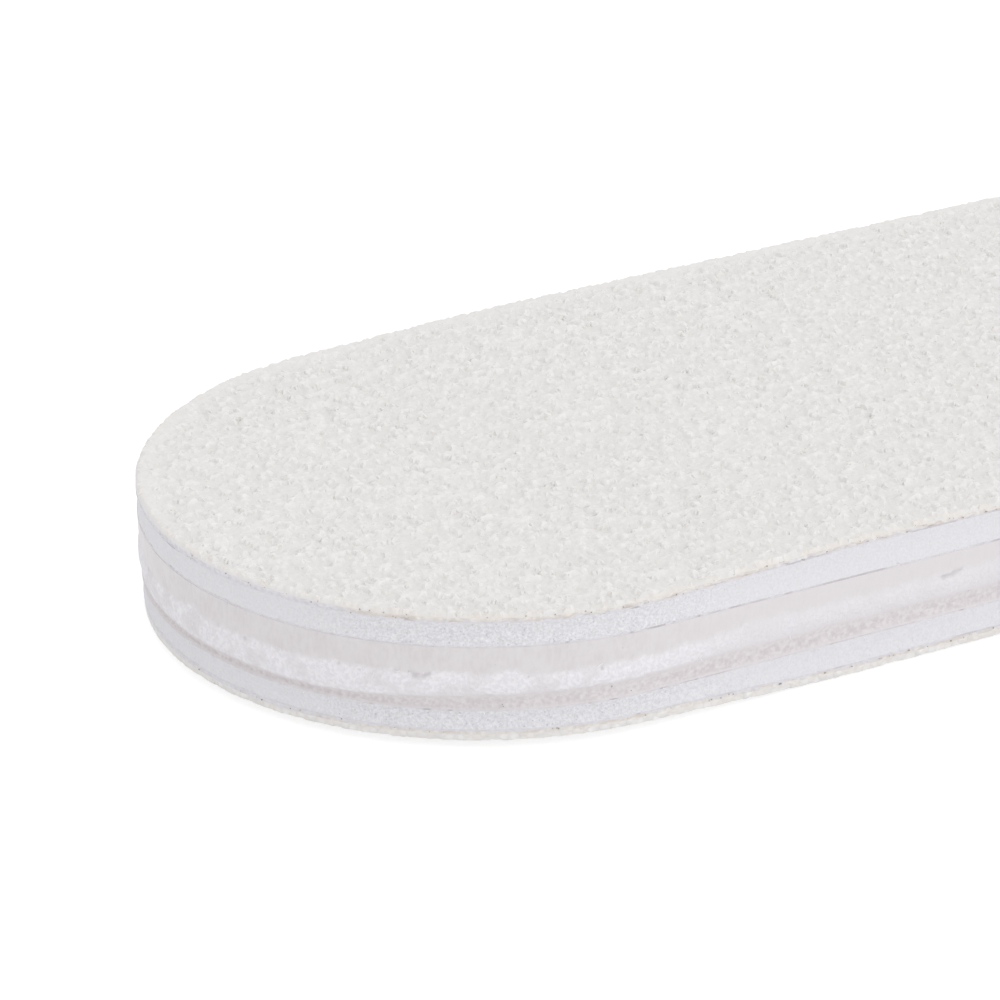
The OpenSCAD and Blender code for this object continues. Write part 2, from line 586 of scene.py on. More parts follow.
def foam_finish():
    finish, shader = new_finish("cut_foam", FOAM_WHITE, roughness=0.75, specular=0.2)
    cell = cells(finish, FOAM_CELL)
    shades = cell_shades(finish, cell)
    speckle = remap(finish, cloud(finish, size_mm=FOAM_SPECKLE, detail=3.0, rough=0.7), 0.36, 0.64)
    # Painted light on the cell walls and painted shade in the hollows
    tone = blend(finish, speckle, FOAM_SHADE, FOAM_BRIGHT)
    calmed = remap(finish, shades["Red"], 0, 1, new_high=0.5)
    tone = blend(finish, calmed, tone, FOAM_WHITE)
    # Painted shade in the middles of cells torn wide open
    middle = remap(finish, cell.outputs["Distance"], 0.5, 0.1)
    torn_open = remap(finish, shades["Green"], 0.82, 1.0, new_high=0.9)
    tone = blend(finish, combine(finish, "MULTIPLY", middle, torn_open), tone, FOAM_PIT_SHADE)
    wiped = mark(finish, "wiped")
    tone = blend(finish, wiped, tone, FOAM_WHITE)
    join(finish, tone, shader.inputs["Base Color"])
    still_open = remap(finish, wiped, 0, 1, new_low=1.0, new_high=0.3)
    height = combine(finish, "MULTIPLY", speckle, still_open)
    emboss(finish, shader, height, SPECKLE_DEPTH, strength=0.5)
    return finish


cut_foam = foam_finish()
show_recipe(cut_foam)

# %% [markdown]
# ## The foam cushions
#
# Foam springs back behind the blade, so its cut face ends up slightly hollow
# between the paper and the core. On top of that hollow come the cut cells: pits
# of a fine size all over, and now and then a larger one. A block with a noise
# texture would do from afar, but this close the hollow shades the whole band.
#
# The board lies at rest and nothing presses on it, so the foam fills its full
# height.

# %% Cut the foam
FOAM_INSET = 0.015
FOAM_HOLLOW = 0.035
FOAM_TORN_PIT = 0.02
FOAM_ROWS = 17
WIPED_MOST = 0.7


def wiped_at(points, share):
    """How far the blade has wiped the cells shut: mostly at the nose and the sides."""
    return WIPED_MOST * np.maximum(nose_share(points), side_share(points))


def foam_relief(points, share):
    """The hollow, with fine cells, broad swells and a few torn pits."""
    hollow = FOAM_INSET + FOAM_HOLLOW * np.sin(pi * share)
    fine = wander(points, size=0.08, by=0.010, seed=11)
    broad = wander(points, size=0.9, by=0.010, seed=12)
    torn = FOAM_TORN_PIT * smooth_step(0.5, 0.85, soft_noise(points, size=0.2, seed=13))
    return hollow + fine + broad + torn


for side in ("upper", "lower"):
    cushion = make_layer(f"{side}_foam_cushion", f"{side}_foam", FOAM_ROWS, foam_relief,
                         cut_foam, {"wiped": wiped_at})

# %% [markdown]
# ## The core's finish
#
# The core is white polystyrene with a faint warm blush. Where the blade shears it
# the plastic is burnished and slightly glossy, with fine upright scores. Further
# down it no longer shears but tears: the torn ridge is full of tiny cracks that
# scatter light, so the same plastic looks whiter and duller. Below the ridge the
# plastic is drawn in to a hollow groove, whose darker look is painted shade. Three
# finishes on three strips of mesh would show hard borders, so one finish is mixed
# by marks that say how torn each point is, how deep in the groove, and how blunted
# on a long side.

# %% Core finish
CORE_WHITE = srgb(226, 222, 224)
SCORE_DARK = srgb(217, 212, 214)
SCORE_PALE = srgb(223, 219, 221)
BURNISH_CLOUD = srgb(227, 224, 226)
BURNISH_BLUNTED = srgb(225, 221, 223)
GROOVE_SHADE = srgb(209, 202, 204)
GROOVE_PALE = srgb(226, 221, 223)
TORN_WHITE = srgb(230, 228, 232)
TORN_BRIGHT = srgb(241, 239, 243)
TORN_UNBROKEN = srgb(226, 222, 226)
TORN_BLUNTED = srgb(229, 226, 230)
TEAR_SHADOW = srgb(208, 204, 208)
GLOSSY = 0.42
DULL = 0.8
CRACK_DEPTH = 0.02


def upright_scores(finish, width_mm, height_mm):
    """Noise that is drawn out in height, as a blade leaves it."""
    squeeze = add_node(finish, "ShaderNodeMapping", Scale=(1, 1, width_mm / height_mm))
    join(finish, place(finish), squeeze.inputs["Vector"])
    noise = add_node(finish, "ShaderNodeTexNoise", Scale=1 / (width_mm * MM), Detail=2.0)
    join(finish, squeeze.outputs["Vector"], noise.inputs["Vector"])
    return noise.outputs["Fac"]


def burnished_tone(finish):
    """The sheared band: upright scores, with soft pale clouds over them."""
    scores = remap(finish, upright_scores(finish, width_mm=0.1, height_mm=0.3), 0.35, 0.65)
    tone = blend(finish, scores, SCORE_DARK, SCORE_PALE)
    clouds = remap(finish, cloud(finish, size_mm=0.5, detail=4.0, rough=0.6), 0.35, 0.65, new_high=0.7)
    tone = blend(finish, clouds, tone, BURNISH_CLOUD)
    return blend(finish, mark(finish, "blunted"), tone, BURNISH_BLUNTED)


def torn_tone(finish, crack):
    """The torn ridge: cracked white plastic with patches that held together."""
    tone = blend(finish, crack, TORN_WHITE, TORN_BRIGHT)
    unbroken = remap(finish, cloud(finish, size_mm=0.7, detail=3.0), 0.48, 0.62, new_high=0.7)
    tone = blend(finish, unbroken, tone, TORN_UNBROKEN)
    return blend(finish, mark(finish, "blunted"), tone, TORN_BLUNTED)


def core_finish():
    finish, shader = new_finish("sheared_core", CORE_WHITE, roughness=0.45, specular=0.4)
    torn = mark(finish, "torn")
    # Painted shade in the groove, mottled by noise
    groove_mottle = remap(finish, cloud(finish, size_mm=0.12, detail=3.0), 0.36, 0.64)
    hollow = blend(finish, groove_mottle, GROOVE_SHADE, GROOVE_PALE)
    tone = blend(finish, mark(finish, "groove"), burnished_tone(finish), hollow)
    crack = remap(finish, cloud(finish, size_mm=0.11, detail=3.0), 0.38, 0.6)
    tone = blend(finish, torn, tone, torn_tone(finish, crack))
    tear = remap(finish, mark(finish, "tear"), 0.2, 1.0)
    tone = blend(finish, tear, tone, TEAR_SHADOW)
    join(finish, tone, shader.inputs["Base Color"])
    join(finish, remap(finish, torn, 0, 1, GLOSSY, DULL), shader.inputs["Roughness"])
    height = combine(finish, "MULTIPLY", crack, remap(finish, torn, 0, 1, new_low=0.1))
    emboss(finish, shader, height, CRACK_DEPTH, strength=0.5)
    return finish


sheared_core = core_finish()
show_recipe(sheared_core)

# %% [markdown]
# ## The core
#
# This is the edge's most telling piece. From the top: a smooth sheared band, a torn
# ridge that stands proud, and a groove. The ridge reaches lower at the nose, where
# the groove is a thin dark line, than on the sides. The border between the band and
# the ridge wanders, with bites where a tear ran up into the smooth band, and small
# shadowed tears sit along it. Along a straight side the tearing is gentler: the
# ridge is less rough there, and its borders are softer.
#
# Such a border could be sculpted by hand. Here each part of it is a function of the
# place instead, and the same functions give the shape and the marks, so the
# whitening always sits on the torn plastic.

# %% Lay out the torn ridge
RIDGE_TOP_NOSE = 0.565
RIDGE_TOP_SIDE = 0.67
RIDGE_FOOT_NOSE = 0.12
RIDGE_FOOT_FLANK = 0.27
RIDGE_FOOT_SIDE = 0.32
FLANK_FULL = 3.0
FLANK_END = 9.0
TEAR_BITE = 0.10


def ridge_top(points):
    """Share of the core's height where the sheared band ends."""
    along = points * IN_PLAN
    wandering = (wander(along, size=1.7, by=0.03, seed=21)
                 + wander(along, size=0.45, by=0.03, seed=22))
    bite = TEAR_BITE * smooth_step(0.35, 0.8, soft_noise(along, size=1.1, seed=23))
    plain = RIDGE_TOP_NOSE + (RIDGE_TOP_SIDE - RIDGE_TOP_NOSE) * side_share(points)
    return plain + wandering + bite + wander(points, size=0.14, by=0.03, seed=24)


def ridge_foot(points):
    """Share of the core's height where the groove begins."""
    along = points * IN_PLAN
    flank = 1 - smooth_step(TIP_X + FLANK_FULL, TIP_X + FLANK_END, np.abs(points[:, 0]))
    plain = RIDGE_FOOT_NOSE + (RIDGE_FOOT_FLANK - RIDGE_FOOT_NOSE) * flank
    plain = plain + (RIDGE_FOOT_SIDE - RIDGE_FOOT_FLANK) * side_share(points)
    wandering = wander(along, size=1.3, by=0.012, seed=25)
    return plain + wandering + wander(points, size=0.2, by=0.012, seed=26)


nose_and_side = np.array([(-TIP_X - TIP_RADIUS, 0, RIM_Z), (0, -TIP_RADIUS, RIM_Z)])
print("the ridge runs from", np.round(ridge_foot(nose_and_side), 2), "to",
      np.round(ridge_top(nose_and_side), 2), "of the core at the nose and on a side")

# %% [markdown]
# ## Marks and relief of the core
#
# Each function below takes points of the plain wall and the share of the core's
# height that they lie at, and answers for all of them at once. An even S curve at
# each border of the ridge takes the hardness out of it.

# %% Cut the core
RIDGE_HEIGHT = 0.05
GROOVE_DEPTH = 0.08
TEAR_DEPTH = 0.04
TEAR_BELOW_TOP = 0.03
TEAR_BAND = 0.05
SOFT_BORDER = 0.02
SOFT_BORDER_SIDE = 0.05
SOFTER_TOP = 0.03
BLUNTED_MOST = 0.7
CORE_ROWS = 34


def torn_at(points, share):
    """How torn the core is: 0 on the sheared band and in the groove, 1 on the ridge."""
    soft = SOFT_BORDER + SOFT_BORDER_SIDE * side_share(points)
    below_top = smooth_step(-SOFTER_TOP - soft, SOFTER_TOP + soft, ridge_top(points) - share)
    return below_top * smooth_step(-soft, soft, share - ridge_foot(points))


def groove_at(points, share):
    """How deep in the groove a point lies, from 0 to 1."""
    # The first power moves the deepest place down, and the second broadens it
    inside = np.sin(pi * np.clip(share / ridge_foot(points), 0, 1) ** 0.6) ** 0.7
    return inside * (1 - torn_at(points, share))


def tear_at(points, share):
    """Small shadowed tears where the sheared band gives way to the ridge."""
    near_top = np.exp(-((share - ridge_top(points) + TEAR_BELOW_TOP) / TEAR_BAND) ** 2)
    patches = soft_noise(points, size=0.19, seed=30)
    patches = patches + wander(points * IN_PLAN, size=1.3, by=0.8, seed=34)
    return near_top * smooth_step(0.45, 1.0, patches)


def blunted_at(points, share):
    """The tearing is gentler on the long sides, where the blade is straight."""
    return BLUNTED_MOST * side_share(points)


def core_relief(points, share):
    """The groove and the tears lie inside the cut, and the ridge stands proud of it."""
    torn = torn_at(points, share)
    foot = ridge_foot(points)
    over_ridge = np.clip((share - foot) / (ridge_top(points) - foot), 0, 1)
    ridge = RIDGE_HEIGHT * np.sin(pi * over_ridge) * torn
    crumbs = (wander(points, size=0.11, by=0.010, seed=27)
              + wander(points, size=0.32, by=0.012, seed=28))
    crumbs = crumbs * torn * (1 - blunted_at(points, share))
    swell = wander(points, size=2.5, by=0.006, seed=29)
    tear = TEAR_DEPTH * tear_at(points, share)
    return GROOVE_DEPTH * groove_at(points, share) + tear - ridge - crumbs - swell


core_marks = {"torn": torn_at, "groove": groove_at, "tear": tear_at, "blunted": blunted_at}
make_layer("plastic_core", "core", CORE_ROWS, core_relief, sheared_core, core_marks)

# %% [markdown]
# ## The adhesive films
#
# A film is no thicker than a hair, so all that shows of it is a fine line between
# two layers, and the dust that has stuck to it. Round the tips it is pale
# and nearly lost, apart from a few specks. On the long sides dust and a painted
# shade make a broken grey line, and the film ends a little further in wherever it
# lies. A deeper slot would draw the line by its shadow alone, but in so fine a gap
# that shadow is black, so the grey line paints the slot's shade as well as dust.

# %% Films
FILM_WHITE = srgb(226, 222, 226)
FILM_DIM = srgb(220, 217, 221)
FILM_PALE = srgb(227, 225, 229)
FILM_DUST_AND_SHADE = srgb(182, 174, 177)
FILM_ROWS = 3
FILM_INSET = 0.012
FILM_DEEP = 0.025
LINE_STRENGTH = 0.4
SPECK_STRENGTH = 0.6


def film_finish():
    finish, shader = new_finish("dust_and_shade_film", FILM_WHITE, roughness=0.6, specular=0.3)
    patches = remap(finish, cloud(finish, size_mm=0.12), 0.4, 0.6)
    pale = blend(finish, patches, FILM_DIM, FILM_PALE)
    # The dust mark mixes in dust and the painted shade of the glue line's slot
    tone = blend(finish, mark(finish, "dust"), pale, FILM_DUST_AND_SHADE)
    join(finish, tone, shader.inputs["Base Color"])
    emboss(finish, shader, patches, depth_mm=0.01, strength=0.4)
    return finish


def dust_and_shade_line(points, share):
    """A broken line of dust and painted shade on the long sides, and a few specks anywhere."""
    broken = soft_noise(points, size=0.8, seed=31) + wander(points, size=0.25, by=0.5, seed=32)
    line = LINE_STRENGTH * smooth_step(-0.1, 0.5, broken) * side_share(points)
    specks = soft_noise(points, size=0.16, seed=35) + wander(points, size=1.7, by=0.7, seed=36)
    return np.maximum(line, SPECK_STRENGTH * smooth_step(0.75, 1.1, specks))


def film_relief(points, share):
    """A small inset that deepens under the line of dust and painted shade."""
    ragged = wander(points, size=0.2, by=0.01, seed=33)
    return FILM_INSET + FILM_DEEP * dust_and_shade_line(points, share) + ragged


dust_and_shade_film = film_finish()
show_recipe(dust_and_shade_film)
for node in ("upper_paper_film", "upper_core_film", "lower_core_film", "lower_paper_film"):
    make_layer(f"{node}_line", node, FILM_ROWS, film_relief, dust_and_shade_film,
               {"dust": dust_and_shade_line})

# %% [markdown]
# ## The backing papers' finish
#
# The paper is cream and fibrous. The blade crushes its edge: on the abrasive's side
# crumbs of grit are pressed into it, and on the foam's side a skin of foam is
# smeared over it. Two coats of colour, one for crushed paper and one for the foamy
# skin, are mixed by the smear mark, and a tan stain follows the line between them.

# %% Paper finish
PAPER_CREAM = srgb(234, 230, 223)
CRUSHED_PALE = srgb(238, 235, 231)
CRUSHED_DIM = srgb(221, 216, 211)
FOAMY_PALE = srgb(233, 232, 236)
FOAMY_DIM = srgb(219, 218, 223)
PAPER_STAIN = srgb(219, 209, 202)
FIBRE_SIZE = 0.06
FIBRE_DEPTH = 0.02


def paper_finish():
    finish, shader = new_finish("backing_paper", PAPER_CREAM, roughness=0.85, specular=0.15)
    mottle = remap(finish, cloud(finish, size_mm=0.14, detail=3.0), 0.35, 0.65)
    crushed = blend(finish, mottle, CRUSHED_PALE, CRUSHED_DIM)
    foamy = blend(finish, mottle, FOAMY_PALE, FOAMY_DIM)
    tone = blend(finish, mark(finish, "smear"), crushed, foamy)
    tone = blend(finish, mark(finish, "stain"), tone, PAPER_STAIN)
    join(finish, tone, shader.inputs["Base Color"])
    emboss(finish, shader, cloud(finish, size_mm=FIBRE_SIZE, detail=3.0), FIBRE_DEPTH, strength=0.6)
    return finish


backing_paper = paper_finish()
show_recipe(backing_paper)

# %% [markdown]
# ## The backing papers
#
# The line where paper and smeared foam meet is ragged, and it climbs at the nose
# until foam covers nearly the whole edge. It could be drawn as a texture, but it
# has to climb with the outline, so it is worked out on the mesh, by one rule for
# both papers and with seeds for each.
#
# The crumbs along the rim belong to the paper and to the coat of grit beside it,
# so both use one relief and no gap opens between them. It is kept small at the
# nose, where the cut looks cleaner, and on the lower paper, whose rim looks even.

# %% Cut the papers
PAPER_ROWS = 7
RIM_CRUMB = 0.15
RIM_INSET = 0.02
CALM_AT_NOSE = 0.8
LOWER_CRUMBS = 0.25
UPPER_CRUMBS = 0.85
FOAM_OVER = 0.3
FOAM_OVER_NOSE = 1.2
SMEAR_EDGE = 0.15
STAIN_WIDTH = 0.35
STAIN_LEAST = 0.15
STAIN_PATCHES = 0.85


def rim_relief(points):
    """Crumbs of grit and crushed paper: one relief for the paper and the coat's rim."""
    crumbs = (wander(points, size=RIM_CRUMB, by=0.03, seed=41)
              + wander(points, size=0.07, by=0.012, seed=42))
    in_upper_half = smooth_step(0.3 * RIM_Z, 0.7 * RIM_Z, points[:, 2])
    strength = LOWER_CRUMBS + UPPER_CRUMBS * in_upper_half
    return RIM_INSET + strength * (1 - CALM_AT_NOSE * nose_share(points)) * crumbs


def paper_relief(points, share):
    """A paper is cut back by the rim's crumbs alone, at any share of its height."""
    return rim_relief(points)


def foam_line(points, seed):
    """How far foam is smeared over the paper's edge, as a share from the foam's side."""
    along = points * IN_PLAN
    ragged = (wander(along, size=0.9, by=0.25, seed=seed)
              + wander(along, size=0.17, by=0.45, seed=seed + 1))
    return FOAM_OVER + FOAM_OVER_NOSE * nose_share(points) + ragged


def paper_marks(foam_below, seed):
    """The smear and the stain of a paper whose foam lies below or above it."""
    def past_line(points, share):
        from_foam = share if foam_below else 1 - share
        return from_foam - foam_line(points, seed)

    def smear(points, share):
        return smooth_step(-SMEAR_EDGE, SMEAR_EDGE, -past_line(points, share))

    def stain(points, share):
        patchy = smooth_step(-0.1, 0.6, soft_noise(points * IN_PLAN, size=0.4, seed=seed + 2))
        near_line = np.exp(-(past_line(points, share) / STAIN_WIDTH) ** 2)
        return near_line * (STAIN_LEAST + STAIN_PATCHES * patchy)

    return {"smear": smear, "stain": stain}


make_layer("upper_backing_paper", "upper_paper", PAPER_ROWS, paper_relief, backing_paper,
           paper_marks(foam_below=True, seed=44))
make_layer("lower_backing_paper", "lower_paper", PAPER_ROWS, paper_relief, backing_paper,
           paper_marks(foam_below=False, seed=47))

# %% [markdown]
# ## The abrasive's finish
#
# The grains are white fused alumina in a clear, slightly creamy size coat. A grain
# is bright at its crest and greyer at its foot, where less light gets out, and no
# two grains are equally clear. A true scattering shader leaks light out of so thin
# a skin, so this glow and the shade at the foot are painted instead, from marks on
# the mesh: how high a point lies, and the tone of the grain that its facet belongs to.
#
# Where the mesh has no single grains, the finish paints them. Voronoi cells as far
# apart as the grains stand in for the crystals, each with a level of its own, and
# each is painted pale at its crest and darker at its border: a painted light and
# shade of a dome, beside its bump.

# %% Abrasive finish
GRIT_WHITE = srgb(238, 236, 233)
GRAIN_CLOUDY = srgb(232, 231, 229)
GRAIN_CLEAR = srgb(241, 240, 239)
GRAIN_CLUMP = srgb(233, 231, 229)
GRAIN_TINT = srgb(241, 238, 237)
GRAIN_FOOT_SHADE = srgb(231, 229, 227)
GRIT_SOILED = srgb(234, 227, 221)
PAINTED_STEP = 0.24
PAINTED_GRAIN_SHADE = srgb(229, 227, 225)
PAINTED_GRAIN_LIGHT = srgb(245, 244, 243)
PAINTED_DEPTH = 0.08


def painted_grains(finish):
    """Height of grains that are only painted: domes that differ in level."""
    painted = cells(finish, PAINTED_STEP)
    shades = cell_shades(finish, painted)
    crest = remap(finish, painted.outputs["Distance"], 0.85, 0.2)
    level = remap(finish, shades["Red"], 0, 1, new_low=0.3)
    return combine(finish, "MULTIPLY", crest, level)


def modelled_grains(finish):
    """Tone of grains that the mesh has: by grain, in clumps, and painted shade at the foot."""
    grain = blend(finish, mark(finish, "tone"), GRAIN_CLOUDY, GRAIN_CLEAR)
    clump = remap(finish, cloud(finish, size_mm=0.45), 0.35, 0.65, new_high=0.4)
    grain = blend(finish, clump, grain, GRAIN_CLUMP)
    tint = remap(finish, cloud(finish, size_mm=0.25), 0.45, 0.7, new_high=0.5)
    grain = blend(finish, tint, grain, GRAIN_TINT)
    # Painted shade at a grain's foot, and its own tone towards the crest
    return blend(finish, remap(finish, mark(finish, "lift"), 0.2, 0.8), GRAIN_FOOT_SHADE, grain)


def grit_finish():
    finish, shader = new_finish("white_grit", GRIT_WHITE, roughness=0.5, specular=0.35)
    height = painted_grains(finish)
    # Painted light at each painted grain's crest and painted shade towards its border
    drawn_light_and_shade = blend(finish, height, PAINTED_GRAIN_SHADE, PAINTED_GRAIN_LIGHT)
    sparse = mark(finish, "sparse")
    tone = blend(finish, sparse, modelled_grains(finish), drawn_light_and_shade)
    patches = remap(finish, cloud(finish, size_mm=0.5), 0.42, 0.62)
    soiled = combine(finish, "MULTIPLY", mark(finish, "rim"), patches)
    tone = blend(finish, soiled, tone, GRIT_SOILED)
    tone = blend(finish, mark(finish, "smear"), tone, FOAM_WHITE)
    join(finish, tone, shader.inputs["Base Color"])
    painted_only = combine(finish, "MULTIPLY", height, sparse)
    emboss(finish, shader, painted_only, PAINTED_DEPTH, strength=0.8)
    return finish


white_grit = grit_finish()
show_recipe(white_grit)

# %% [markdown]
# ## The abrasive coats
#
# A coat of grit is laid in an electric field that stands the grains on end, so
# they show as a crowd of upright crystals. Copies of one modelled grain could be
# scattered, but tens of thousands of them would cross each other and the paper.
# Instead each grain gets four corners round its own centre, at its own height and
# tilt, and a point just below the lowest neighbour marks each valley. A Delaunay
# triangulation joins all of them into one skin without holes, and flat shading
# keeps the facets as crisp as broken crystal.
#
# Grains are cut one by one only on the tip that the close view shows. Beyond it
# they thin out over a few millimetres, so that no border shows, and the rest of the
# board gets a sparse field whose grains come from the finish.

# %% Lattice and triangles
CLOSE_VIEW_REACH = 17.7
CLOSE_VIEW_SKEW = 0.7
THIN_OUT = 9.0
# Rows of an even lattice lie this share of a step apart
HEX_ROW = 0.866
# How far the triangles reach, in Blender's own numbers
WHOLE_HULL = 0
INSIDE_BORDER = 1
# Spots closer than this would become one
WELD_DISTANCE = 1e-7


def close_share(x, y):
    """1 on the part of the face that the close view shows, falling to 0 beyond it."""
    past = x + TIP_X - CLOSE_VIEW_REACH - CLOSE_VIEW_SKEW * y
    return 1 - smooth_step(0, THIN_OUT, past)


def hex_lattice(step):
    """Centres in even rows over the whole face."""
    rows = np.arange(-TIP_RADIUS, TIP_RADIUS, step * HEX_ROW)
    columns = np.arange(-BOARD_LENGTH / 2, BOARD_LENGTH / 2, step)
    x, y = np.meshgrid(columns, rows)
    x = x + step / 2 * (np.arange(len(rows)) % 2)[:, None]
    return np.stack([x.ravel(), y.ravel()], axis=1)


def triangulate(spots, borders, extent):
    """Joins all spots into triangles, as corner numbers."""
    corners = [Vector(spot) for spot in spots.tolist()]
    joined = delaunay_2d_cdt(corners, borders, [], extent, WELD_DISTANCE)
    kept = len(joined[0]) == len(spots)
    print(f"{len(spots)} spots, {len(joined[2])} triangles, every spot kept: {kept}")
    return np.array(joined[2])


print("single grains fill", CLOSE_VIEW_REACH, "mm behind the tip's centre and then thin out")

# %% [markdown]
# ## Single grains and the sparse field
#
# Both fields start from an even lattice whose points are moved about at random, a
# cheap way to a crowd that is irregular and yet has no heaps or holes. A random
# draw against the share thins each field out where the other takes over.

# %% Scatter the grains
GRAIN_STEP = 0.24
GRAIN_JITTER = 0.4
GRAIN_LEVELS = (0.35, 1.0)
DOME_CORNERS = 4
DOME_REACH = (0.26, 0.34)
CORNER_TURN = 0.3
CORNER_DROP = 0.15
VALLEY_DROP = 0.1
VALLEY_FLOOR = 0.12
SPARSE_STEP = 0.55
SPARSE_JITTER = 0.3
SPARSE_LEVELS = (0.6, 0.9)
SPARSE_TONES = (0.3, 0.7)


def close_grains(share_at, rng):
    """Domes of single grains and the valleys between them.

    Gives their places, their heights as a share of the coat, and each one's tone.
    """
    centres = hex_lattice(GRAIN_STEP)
    centres = centres[rng.uniform(0, 1, len(centres)) < share_at(*centres.T)]
    centres += rng.uniform(-GRAIN_JITTER, GRAIN_JITTER, centres.shape) * GRAIN_STEP
    count = len(centres)
    between = triangulate(centres, [], WHOLE_HULL)
    level = rng.uniform(*GRAIN_LEVELS, count)
    tone = rng.uniform(0, 1, count)
    turn = rng.uniform(0, 2 * pi, count)
    spots = [centres[between].mean(axis=1), centres]
    lifts = [np.maximum(level[between].min(axis=1) - VALLEY_DROP, VALLEY_FLOOR), level]
    tones = [tone[between].mean(axis=1), tone]
    for corner in range(DOME_CORNERS):
        angle = turn + corner * 2 * pi / DOME_CORNERS + rng.uniform(-CORNER_TURN, CORNER_TURN, count)
        reach = GRAIN_STEP * rng.uniform(*DOME_REACH, count)
        spots.append(centres + np.stack([np.cos(angle), np.sin(angle)], axis=1) * reach[:, None])
        lifts.append(level - rng.uniform(0.0, CORNER_DROP, count))
        tones.append(tone)
    return np.concatenate(spots), np.concatenate(lifts), np.concatenate(tones)


def sparse_grains(share_at, rng):
    """Low relief for the rest of the face."""
    spots = hex_lattice(SPARSE_STEP)
    spots += rng.uniform(-SPARSE_JITTER, SPARSE_JITTER, spots.shape) * SPARSE_STEP
    spots = spots[rng.uniform(0, 1, len(spots)) >= share_at(*spots.T)]
    count = len(spots)
    return spots, rng.uniform(*SPARSE_LEVELS, count), rng.uniform(*SPARSE_TONES, count)


grain_width = 2 * np.mean(DOME_REACH) * GRAIN_STEP
print(f"single grains stand {GRAIN_STEP} mm apart and are {grain_width:.2f} mm wide")

# %% [markdown]
# ## The rim of a coat
#
# At the cut the coat rounds off: on the shown tip its rim is low, and the grains
# rise from it. A plain upright wall would be simpler, but it would show as a bright
# line round the face. The board's far rim looks even in the photograph, which may
# only be its softness, and the grains along it are levelled to match.

# %% Edge of a coat
RIM_BAND = 0.06
RIM_LEVEL = 0.12
PLAIN_RIM_LEVEL = 0.85
FAR_RIM_LEVEL = 0.7
FAR_RIM_EVENNESS = 0.85
FAR_RIM_BAND = (0.1, 0.8)
FAR_SIDE_FROM = 2.0


def rim_distance(x, y):
    """How far a spot of the face lies inside the rim."""
    return TIP_RADIUS - np.hypot(np.maximum(np.abs(x) - TIP_X, 0), y)


def levelled_share(x, y):
    """How far the grains are levelled: only along the far rim, as in the photograph."""
    near_rim = 1 - smooth_step(*FAR_RIM_BAND, rim_distance(x, y))
    return FAR_RIM_EVENNESS * near_rim * smooth_step(0, FAR_SIDE_FROM, y)


def coat_rings(back, thick, outward, rim_level, seed):
    """The ring at a coat's back, and the ragged one at its rim."""
    rings = []
    for level in (0 * rim_level, rim_level):
        plain = wall_points(face_height(back, ring_x) + outward * thick * level, 0)
        ring = wall_points(plain[:, 2], rim_relief(plain))
        rough = soft_noise(plain, size=RIM_CRUMB, seed=seed)
        ring[:, 2] += outward * thick * level * (1 - level) * rough
        rings.append(ring)
    return rings


def face_spots(share_at, close_up, rng):
    """All spots of a face inside its rim: their places, heights and tones."""
    parts = [sparse_grains(share_at, rng)]
    if close_up:
        parts.append(close_grains(share_at, rng))
    spots, lifts, tones = (np.concatenate(part) for part in zip(*parts))
    lifts += (FAR_RIM_LEVEL - lifts) * levelled_share(*spots.T)
    inside = rim_distance(*spots.T) > RIM_BAND
    return spots[inside], lifts[inside], tones[inside]


print(f"the rim of the shown tip stands at {RIM_LEVEL:.0%} of the coat's height")

# %% [markdown]
# ## One coat from its parts
#
# The ring at the rim and the spots of the face are joined by triangles, which stop
# at the ring. The back of the coat is closed by plain strips, since it lies on the
# paper. The lower face is out of sight, so its coat is the sparse field alone.

# %% Build an abrasive coat
BACK_LIFT = 0.5
FLAT_FACETS_FROM = 0.05
RIM_SOIL = 0.8
RIM_SOIL_BAND = (0.02, 0.3)


def coat_marks(points, faces, lifts, tones, close, outward, seed):
    """What the finish has to know about each point or facet of a coat."""
    from_rim = rim_distance(points[:, 0], points[:, 1])
    smear = np.zeros(len(points))
    if outward > 0:
        at_nose = nose_share(points[:RING])
        ragged = 0.5 + wander(points[:RING], size=RIM_CRUMB, by=0.5, seed=seed)
        smear[:RING] = at_nose
        smear[RING:2 * RING] = at_nose * ragged
    return {
        "lift": lifts,
        # A facet takes the tone of its highest corner, so that it belongs to one grain
        "tone": [tones[max(face, key=lifts.__getitem__)] for face in faces],
        "smear": smear,
        "sparse": 1 - close,
        "rim": RIM_SOIL - RIM_SOIL * smooth_step(*RIM_SOIL_BAND, from_rim),
    }


